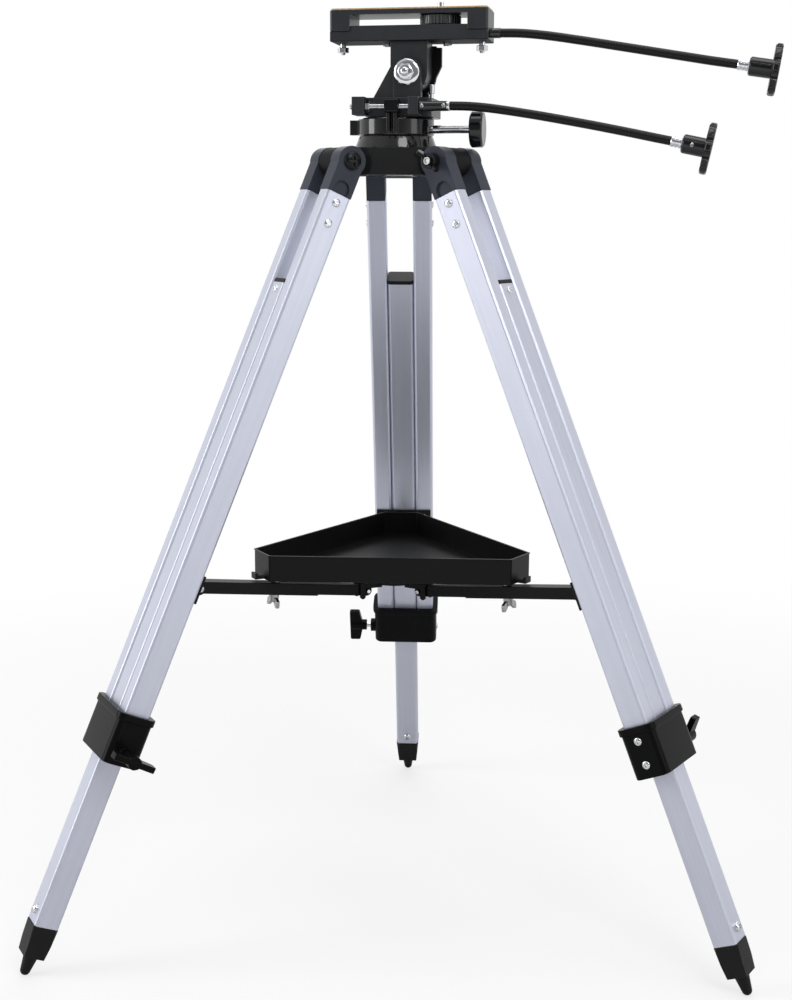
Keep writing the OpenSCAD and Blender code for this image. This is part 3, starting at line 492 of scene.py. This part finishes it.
def piece(name, mesh, *finishes):
    made = bpy.data.objects.new(name, mesh)
    scene.collection.objects.link(made)
    for finish in finishes:
        mesh.materials.append(finish)
    return made


def shaded(shape, name):
    """A mesh with smooth faces that stay crisp at sharp edges."""
    mesh = bpy.data.meshes.new(name)
    shape.to_mesh(mesh)
    shape.free()
    mesh.polygons.foreach_set("use_smooth", [True] * len(mesh.polygons))
    mesh.set_sharp_from_angle(angle=SHARP)
    return mesh


def dressed(node, finish, edge, second=None, picked=None, segments=2):
    """Softens a node's edges, in millimetres; a second finish goes where picked says so."""
    shape = rounded(node, edge, segments)
    if second:
        for face in shape.faces:
            face.material_index = int(picked(face.calc_center_median()))
    mesh = shaded(shape, node + "_finish")
    made = piece(node + "_finish", mesh, finish, *([second] if second else []))
    made.modifiers.new("even_flats", "WEIGHTED_NORMAL").keep_sharp = True
    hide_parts(node)
    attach(made, nodes[node]["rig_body"])


# %% [markdown]
# ## The legs
# Each leg is a pair of rails with a tube that slides between them, plastic lugs at the hinge, a
# moulded clamp at the rail ends and a plastic foot. The clamp screw's shank and the pins at the
# inner ends of the arms are bright, the rest of those pieces is black.

# %% Dress the legs
TUBE_ROUND = 0.7
CLAMP_SHANK = 3.3 * MM
CLAMP_GRIP_AT = 48.5 * MM
TONGUE_HALF = 5.6 * MM
hooks_low, hooks_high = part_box("centre_plate")
LEG_FINISHES = {
    "lugs": (charcoal, 0.4), "pivot_wing_nut": (oxide, 0.3), "leg_clamp": (clamp_moulding, 0.8),
    "inner_cap": (dark_moulding, 0.6), "foot": (dark_moulding, 0.6), "leg_screws": (chrome, 0.1),
    "bracket": (sheet_coat, 0.4), "tray_screw": (cast_zinc, 0.25),
}


def on_line(point, joint):
    """How far along a joint's axis a point is, and how far from it."""
    offset = point - Vector(joints[joint]["pos_m"])
    along = offset.dot(Vector(joints[joint]["axis"]))
    return along, math.sqrt(max(offset.length_squared - along * along, 0))


def on_shank(leg, point):
    along, away = on_line(point, f"{leg}_clamp_screw_turn")
    return away < CLAMP_SHANK and along < CLAMP_GRIP_AT


def on_pin(leg, point):
    across = abs(on_line(point, f"{leg}_leg_fold")[0])
    inside = all(hooks_low[i] < point[i] < hooks_high[i] for i in (0, 1))
    return across > TONGUE_HALF and inside


for leg in LEGS:
    dressed(f"{leg}_rails", rail_finish[leg], TUBE_ROUND, segments=3)
    dressed(f"{leg}_inner_leg", tube_finish[leg], TUBE_ROUND, segments=3)
    for part, (finish, edge) in LEG_FINISHES.items():
        dressed(f"{leg}_{part}", finish, edge)
    dressed(f"{leg}_clamp_screw", clamp_moulding, 0.6, chrome, partial(on_shank, leg))
    dressed(f"{leg}_arm", sheet_coat, 0.5, chrome, partial(on_pin, leg))

# %% [markdown]
# ## The head
# The hub and collar are glossy castings, the yoke, tilt bar and saddle are satin, and the screws
# that show between them are bright. Five pieces have two finishes: the clamp wheel sits on a
# bright shaft, the camera knob carries a bright screw, the altitude screw ends in a black sleeve,
# and the hub's tongues and the bar's underside get a darker black without gloss as painted shade.

# %% Dress the head
HEAD_FINISHES = {
    "azimuth_collar": (enamel, 0.4), "yoke": (satin_enamel, 0.6), "saddle": (satin_enamel, 0.7),
    "altitude_arm": (sheet_coat, 0.4), "centre_plate": (sheet_coat, 0.3), "tray": (sheet_coat, 0.35),
    "cork_pad": (cork, 0.3), "azimuth_bolt": (chrome, 0.3), "yoke_bolts": (chrome, 0.5),
    "ring_bolt_left": (chrome, 0.4), "ring_bolt_right": (chrome, 0.4), "azimuth_nut": (oxide, 0.4),
    "altitude_nut": (oxide, 0.4), "azimuth_knob": (gloss_moulding, 0.5),
    "altitude_knob": (gloss_moulding, 0.5), "hinge_bolts": (oxide, 0.25),
}
WHEEL_THICK = 13 * MM
CLAMP_SHAFT = 4.6 * MM
TONGUE_R = 15 * MM
BAR_HEIGHT = 14.5 * MM
UNDERSIDE_BAND = 0.5 * MM
bar_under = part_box("tilt_bar")[1].z - BAR_HEIGHT


def on_tongue(point):
    return any(on_line(point, f"{leg}_leg_fold")[1] < TONGUE_R for leg in LEGS)


def on_underside(point):
    return abs(point.z - bar_under) < UNDERSIDE_BAND


def on_shaft(point):
    before_wheel = point.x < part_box("clamp_knob")[1].x - WHEEL_THICK + MM
    return before_wheel and on_line(point, "clamp_knob_turn")[1] < CLAMP_SHAFT


def over_saddle(point):
    return point.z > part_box("cork_pad")[0].z


def on_sleeve(point):
    return point.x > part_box("tilt_bar")[1].x


for node, (finish, edge) in HEAD_FINISHES.items():
    dressed(node, finish, edge)
# The hub's tongues and the bar's underside take the darker dull black as painted shade.
dressed("hub", enamel, 0.6, painted_shade_black, on_tongue)
dressed("tilt_bar", satin_enamel, 0.6, painted_shade_black, on_underside)
dressed("clamp_knob", gloss_moulding, 0.4, chrome, on_shaft)
dressed("camera_knob", ribbed_moulding, 0.12, chrome, over_saddle)
dressed("altitude_screw", chrome, 0.4, enamel, on_sleeve)

# %% [markdown]
# ## Turned pieces
# Screws, ferrules and sleeves are turned parts, so each is an outline that is spun round an axis.
# With six steps the same spin gives a hexagon. One outline can be set at several places at once,
# which keeps the screws of one leg in one piece.

# %% Spin an outline
SEAT = 0.3


def along_line(origin, direction):
    """A place whose X runs along a direction."""
    turn = Vector(direction).to_track_quat("X", "Z").to_matrix().to_4x4()
    return Matrix.Translation(origin) @ turn


def closed(outline):
    """An outline of (along, radius) that begins and ends on the axis."""
    first, last = ([(along, 0)] if radius else [] for along, radius in (outline[0], outline[-1]))
    return first + outline + last


def turned(name, outline, places, finish, body, slot, steps=36):
    """Spins an outline of (along, radius) millimetres round the X of each place."""
    shape = bmesh.new()
    points = [shape.verts.new((along * MM, 0, radius * MM)) for along, radius in closed(outline)]
    chain = [shape.edges.new(pair) for pair in zip(points, points[1:])]
    bmesh.ops.spin(
        shape, geom=points + chain, cent=(0, 0, 0), axis=(1, 0, 0), dvec=(0, 0, 0),
        angle=2 * math.pi, steps=steps, use_merge=True, use_duplicate=False,
    )
    bmesh.ops.remove_doubles(shape, verts=shape.verts, dist=MERGE)
    bmesh.ops.recalc_face_normals(shape, faces=shape.faces)
    first = shape.verts[:] + shape.edges[:] + shape.faces[:]
    copies = [bmesh.ops.duplicate(shape, geom=first)["geom"] for _ in places[1:]]
    for geometry, place in zip([first] + copies, places):
        corners = [g for g in geometry if isinstance(g, bmesh.types.BMVert)]
        bmesh.ops.transform(shape, matrix=place, verts=corners)
    made = piece(name, shaded(shape, name), finish)
    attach(made, body)
    return made


def dome(radius, height):
    """A round screw head with a socket, seated a little below its face."""
    arc = [math.radians(a) for a in range(0, 61, 15)]
    crown = [(height * (0.35 + 0.65 * math.sin(a)), radius * math.cos(a)) for a in arc]
    socket = radius * 0.42
    recess = [(height * 0.95, socket), (height * 0.4, socket * 0.8), (height * 0.3, 0)]
    return [(-SEAT, radius), *crown, *recess]


# %% [markdown]
# ## Small screws
# A screw holds each side of the tube in its foot, one pins the cap at the tube's upper end, one
# sits in the middle of the tray, and two hexagon heads show under the tilt bar. The altitude bolt
# has a crowned end, and its nut has a coned face and presses on a dished washer: each slope mirrors
# a different part of the room, all the way round.

# %% Screws on the tubes
FOOT_SCREW_UP = 13 * MM
CAP_SCREW_DOWN = 7 * MM
TUBE_HALF = 12.25 * MM


def tube_reach(leg):
    """Lowest and highest place of a sliding tube along its leg."""
    into = leg_place(leg).inverted()
    heights = [(into @ v.co).z for v in nodes[f"{leg}_inner_leg"].data.vertices]
    return min(heights), max(heights)


def tube_side(leg, side, height):
    """The place on the outer (1) or inner (-1) side of a tube, facing away from it."""
    out = Vector((side, 0, 0))
    return leg_place(leg) @ along_line(out * TUBE_HALF + Vector((0, 0, height)), out)


for leg in LEGS:
    low, high = tube_reach(leg)
    foot_places = [tube_side(leg, side, low + FOOT_SCREW_UP) for side in (1, -1)]
    cap_place = tube_side(leg, 1, high - CAP_SCREW_DOWN)
    on_tube = (chrome, f"{leg}_lower_leg", "chrome_steel")
    turned(f"{leg}_foot_screws", dome(4.8, 4.2), foot_places, *on_tube)
    turned(f"{leg}_cap_screw", dome(3.6, 2.4), [cap_place], *on_tube)

# %% Screws on the tray and the bar
TRAY_SHEET = 1.5 * MM
BAR_BOLTS = (-9, 50.6)
azimuth_axis = Vector(joints["azimuth_turn"]["pos_m"])
tray_floor = Vector((azimuth_axis.x, azimuth_axis.y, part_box("tray")[0].z + TRAY_SHEET))
tray_place = along_line(tray_floor, (0, 0, 1))
turned("tray_screw_head", dome(4, 2.2), [tray_place], chrome, "tray", "chrome_steel")
bolt_head = [(-SEAT, 4.2), (3.2, 4.2), (3.9, 3.5), (3.9, 0)]
bolt_spots = [Vector((azimuth_axis.x + x * MM, azimuth_axis.y, bar_under)) for x in BAR_BOLTS]
bolt_places = [along_line(spot, (0, 0, -1)) for spot in bolt_spots]
turned("bar_bolt_heads", bolt_head, bolt_places, chrome, "tilt_head", "chrome_steel", 6)

# %% Washer, nut and end of the altitude bolt
BOLT_END_TO_WASHER = 12 * MM
BOLT_END_TO_NUT = 4 * MM
altitude_axis = Vector(joints["altitude_tilt"]["pos_m"])
bolt_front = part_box("yoke_bolts")[0].y
dished = [(-SEAT, 12.2), (0.25, 12.25), (0.6, 11.9), (1.2, 10.3), (1.55, 8.3), (1.55, 0)]
coned = [(-SEAT, 6.9), (0.1, 6.85), (0.95, 5.1), (0.95, 4.7), (0.2, 4.4), (0.2, 0)]
crowned = [(-SEAT, 3.5), (0, 3.55), (0.5, 3.2), (0.9, 2.5), (1.2, 1.4), (1.3, 0)]


def on_altitude_bolt(name, outline, back, steps):
    """A turned face on the altitude bolt that looks forwards, so far back from the bolt's end."""
    spot = Vector((altitude_axis.x, bolt_front + back, altitude_axis.z))
    turned(name, outline, [along_line(spot, (0, -1, 0))], chrome, "yoke", "chrome_steel", steps)


on_altitude_bolt("altitude_washer", dished, BOLT_END_TO_WASHER, 64)
on_altitude_bolt("altitude_nut_face", coned, BOLT_END_TO_NUT, 48)
on_altitude_bolt("altitude_bolt_crown", crowned, 0, 48)

# %% Bright ends of the hinge bolts
HINGE_BOLT_R = 4 * MM


def bolt_end(leg):
    """The place of a hinge bolt's threaded end, facing outwards."""
    line = f"{leg}_leg_fold"
    reach = [on_line(v.co, line) for v in nodes["hinge_bolts"].data.vertices]
    end = min(along for along, away in reach if away < HINGE_BOLT_R + MM)
    axis = Vector(joints[line]["axis"])
    return along_line(Vector(joints[line]["pos_m"]) + axis * end, -axis)


cupped = [(-SEAT, 3.6), (0.9, 3.6), (1.2, 3.3), (1.2, 2.5), (0.2, 2), (0.1, 0)]
ends = [bolt_end(leg) for leg in LEGS]
bolt_body = nodes["hinge_bolts"]["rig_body"]
turned("hinge_bolt_ends", cupped, ends, cast_zinc, bolt_body, "chrome_steel", 24)

# %% [markdown]
# ## The azimuth tangent screw
# The screw is open to view, so its thread is modelled: a small triangle is spun round the axis
# while it moves along by one pitch a turn. The core, the hexagon collar and the black sleeve for
# the cable are turned pieces. A bright ring ends the sleeve, and two set screws hold the cable.

# %% Cut a thread
SCREW_LEFT, SCREW_RIGHT = -37.5, 60
SLEEVE_FROM, RING_FROM = 30.5, 57.6
SCREW_CORE, THREAD_CREST, THREAD_PITCH = 2.5, 2.97, 1.25
THREAD_HALF = THREAD_PITCH * 0.48
THREAD_ROOT = SCREW_CORE - 0.15
ON_SCREW = ("azimuth_screw", "chrome_steel")
screw_at = Vector(joints["azimuth_screw_turn"]["pos_m"])
screw_axis = along_line(Vector((azimuth_axis.x, screw_at.y, screw_at.z)), (1, 0, 0))


def helix(name, start, end, place, finish, body, slot, steps=20):
    """A thread between two places along the X of a place, in millimetres."""
    shape = bmesh.new()
    left, right = (start - THREAD_HALF, THREAD_ROOT), (start + THREAD_HALF, THREAD_ROOT)
    corners = [left, (start, THREAD_CREST), right]
    points = [shape.verts.new((along * MM, 0, radius * MM)) for along, radius in corners]
    ring = [shape.edges.new(pair) for pair in zip(points, points[1:] + points[:1])]
    turns = round((end - start) / THREAD_PITCH)
    bmesh.ops.spin(
        shape, geom=points + ring, cent=(0, 0, 0), axis=(1, 0, 0),
        dvec=(THREAD_PITCH * MM / steps, 0, 0), angle=2 * math.pi * turns, steps=steps * turns,
        use_merge=False, use_duplicate=False,
    )
    bmesh.ops.holes_fill(shape, edges=[e for e in shape.edges if e.is_boundary], sides=4)
    bmesh.ops.recalc_face_normals(shape, faces=shape.faces)
    bmesh.ops.transform(shape, matrix=place, verts=shape.verts)
    made = piece(name, shaded(shape, name), finish)
    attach(made, body)


# %% Screw and sleeve
HEX_FROM, HEX_TO = -22.2, -17.6
SLEEVE_R, SLEEVE_CHAMFER = 4.85, 0.6
SET_SCREWS = (33.4, 54.6)
rod_outline = [
    (SCREW_LEFT, 0), (SCREW_LEFT, SCREW_CORE - 0.4), (SCREW_LEFT + 0.5, SCREW_CORE),
    (SLEEVE_FROM + 1, SCREW_CORE), (SLEEVE_FROM + 1, 0),
]
sleeve_outline = [
    (SLEEVE_FROM, 0), (SLEEVE_FROM, SLEEVE_R - SLEEVE_CHAMFER),
    (SLEEVE_FROM + SLEEVE_CHAMFER, SLEEVE_R), (RING_FROM, SLEEVE_R), (RING_FROM, 0),
]
ring_outline = [
    (RING_FROM, 0), (RING_FROM, SLEEVE_R), (SCREW_RIGHT - SLEEVE_CHAMFER, SLEEVE_R),
    (SCREW_RIGHT, SLEEVE_R - SLEEVE_CHAMFER), (SCREW_RIGHT, 0),
]
hexagon = [
    (HEX_FROM, 2), (HEX_FROM, 4.8), (HEX_FROM + 0.5, 5.4),
    (HEX_TO - 0.5, 5.4), (HEX_TO, 4.8), (HEX_TO, 2),
]
set_screw = [(-0.4, 1.9), (0.5, 1.9), (0.9, 1.5), (0.9, 0.9), (0.2, 0.8), (0.1, 0)]
set_spots = [Vector((x, -SLEEVE_R, 0)) * MM for x in SET_SCREWS]
set_places = [screw_axis @ along_line(spot, (0, -1, 0)) for spot in set_spots]

azimuth_screw = turned("azimuth_screw_rod", rod_outline, [screw_axis], chrome, *ON_SCREW)
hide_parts("azimuth_screw")
turned("azimuth_screw_sleeve", sleeve_outline, [screw_axis], enamel, *ON_SCREW)
turned("azimuth_sleeve_ring", ring_outline, [screw_axis], chrome, *ON_SCREW)
turned("azimuth_screw_hexagon", hexagon, [screw_axis], chrome, *ON_SCREW, 6)
helix("azimuth_screw_thread", SCREW_LEFT + 1, SLEEVE_FROM - 1, screw_axis, chrome, *ON_SCREW)
turned("sleeve_set_screws", set_screw, set_places, chrome, *ON_SCREW, 20)

# %% [markdown]
# ## The cables
# A slow motion cable is a coiled steel core in a smooth vinyl cover. It is stiff, so it droops
# only a little under the weight of its knob. The cover is a curve along the route, with a bevel
# for its thickness. A crimped ferrule closes its far end, and a set screw holds the knob.

# %% Cable routes, in millimetres right of the azimuth axis and above the floor
AZIMUTH_ROUTE = (
    (60.3, 825), (78, 824.5), (95, 823), (112, 820.7), (129, 818.1), (146, 815.3), (163, 812.3),
    (180, 809.2), (197, 806), (214, 802.7), (231, 799.3), (248, 795.8), (270, 791.3),
)
ALTITUDE_ROUTE = (
    (104, 894.5), (122, 894), (140, 892.4), (158, 890), (176, 887.2), (194, 884.3), (212, 881.3),
    (230, 878.3), (248, 875.3), (266, 872.3), (284, 869.3), (302, 866.3), (328, 862.4),
)
CABLE_R = 4.25
KNOB_HUB_R = 9
KNOB_HUB_MIDDLE = 19
FERRULE = [
    (-1, CABLE_R), (-1, 4.9), (-0.6, 5.2), (1.8, 5.2), (2.2, 4.8), (2.9, 4.8), (3.3, 5.2), (5, 5.2),
    (5.4, 4.8), (6.1, 4.8), (6.5, 5.2), (8.6, 5.2), (9, 4.9), (9, 0),
]

# %% Covers, ferrules and set screws


def cable(motion, route, body, side):
    """A cable along its route; the knob's set screw shows at the front (-1) or the back (1)."""
    name = f"{motion}_cable"
    y = joints[f"{motion}_screw_turn"]["pos_m"][1]
    path = [Vector((azimuth_axis.x + x * MM, y, z * MM)) for x, z in route]
    line = bpy.data.curves.new(name + "_cover", "CURVE")
    line.dimensions = "3D"
    line.bevel_depth = CABLE_R * MM
    line.bevel_resolution = 6
    line.resolution_u = 6
    line.use_fill_caps = True
    spline = line.splines.new("BEZIER")
    spline.bezier_points.add(len(path) - 1)
    for knot, point in zip(spline.bezier_points, path):
        knot.co = point
        knot.handle_left_type = knot.handle_right_type = "AUTO"
    cover = bpy.data.objects.new(name + "_cover", line)
    scene.collection.objects.link(cover)
    line.materials.append(vinyl)
    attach(cover, body)
    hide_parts(name)
    end = along_line(path[-1], path[-1] - path[-2])
    ferrule = turned(name + "_ferrule", FERRULE, [end], chrome, body, "chrome_steel")
    spot = end @ along_line(Vector((KNOB_HUB_MIDDLE, side * KNOB_HUB_R, 0)) * MM, (0, side, 0))
    on_knob = (f"{motion}_knob", "chrome_steel")
    holder = turned(f"{motion}_knob_set_screw", set_screw, [spot], chrome, *on_knob, 20)


cable("azimuth", AZIMUTH_ROUTE, "yoke", -1)
cable("altitude", ALTITUDE_ROUTE, "tilt_head", 1)

# %% [markdown]
# ## The floor
# A paper sweep carries the shadow. Near the object the camera sees the lit paper, seven tenths
# covered with white, and further out only white, so no horizon shows. Metal mirrors the lit paper
# near the object and the white beyond it.

# %% Floor
FLOOR_HALF = 6.0
FADE_FROM, FADE_TO = 0.6, 1.6
NEAR_WHITE = 0.7
LIT_PAPER, SEEN_PAPER = (0.7, 0.7, 0.7), (0.97, 0.97, 0.97)


def paper_sweep():
    finish = Finish("paper_sweep")
    here = finish.node("ShaderNodeTexCoord", output="Object")
    away = finish.node("ShaderNodeVectorMath", {"operation": "LENGTH"}, {0: here}, "Value")
    far = away.step(FADE_FROM, FADE_TO)
    seen = finish.ray("Is Camera Ray").larger(finish.ray("Is Transmission Ray"))
    covered = NEAR_WHITE + (1 - NEAR_WHITE) * far
    white = seen * covered + (1 - seen) * finish.ray("Is Glossy Ray") * far
    finish.paint(Base_Color=finish.ramp(seen, [(0, LIT_PAPER), (1, SEEN_PAPER)]), Roughness=0.8)
    paper = Value(finish, finish.shader.outputs["BSDF"])
    glow = finish.node("ShaderNodeEmission", None, {"Color": (1, 1, 1, 1), "Strength": 1.0})
    mixed = finish.node("ShaderNodeMixShader", None, {0: white, 1: paper, 2: glow})
    finish.feed(finish.tree.nodes["Material Output"].inputs["Surface"], mixed)
    return finish.material


sweep = bmesh.new()
bmesh.ops.create_grid(sweep, x_segments=1, y_segments=1, size=FLOOR_HALF)
floor = piece("paper_floor", shaded(sweep, "paper_floor"), paper_sweep())
print("floor", 2 * FLOOR_HALF, "m wide")
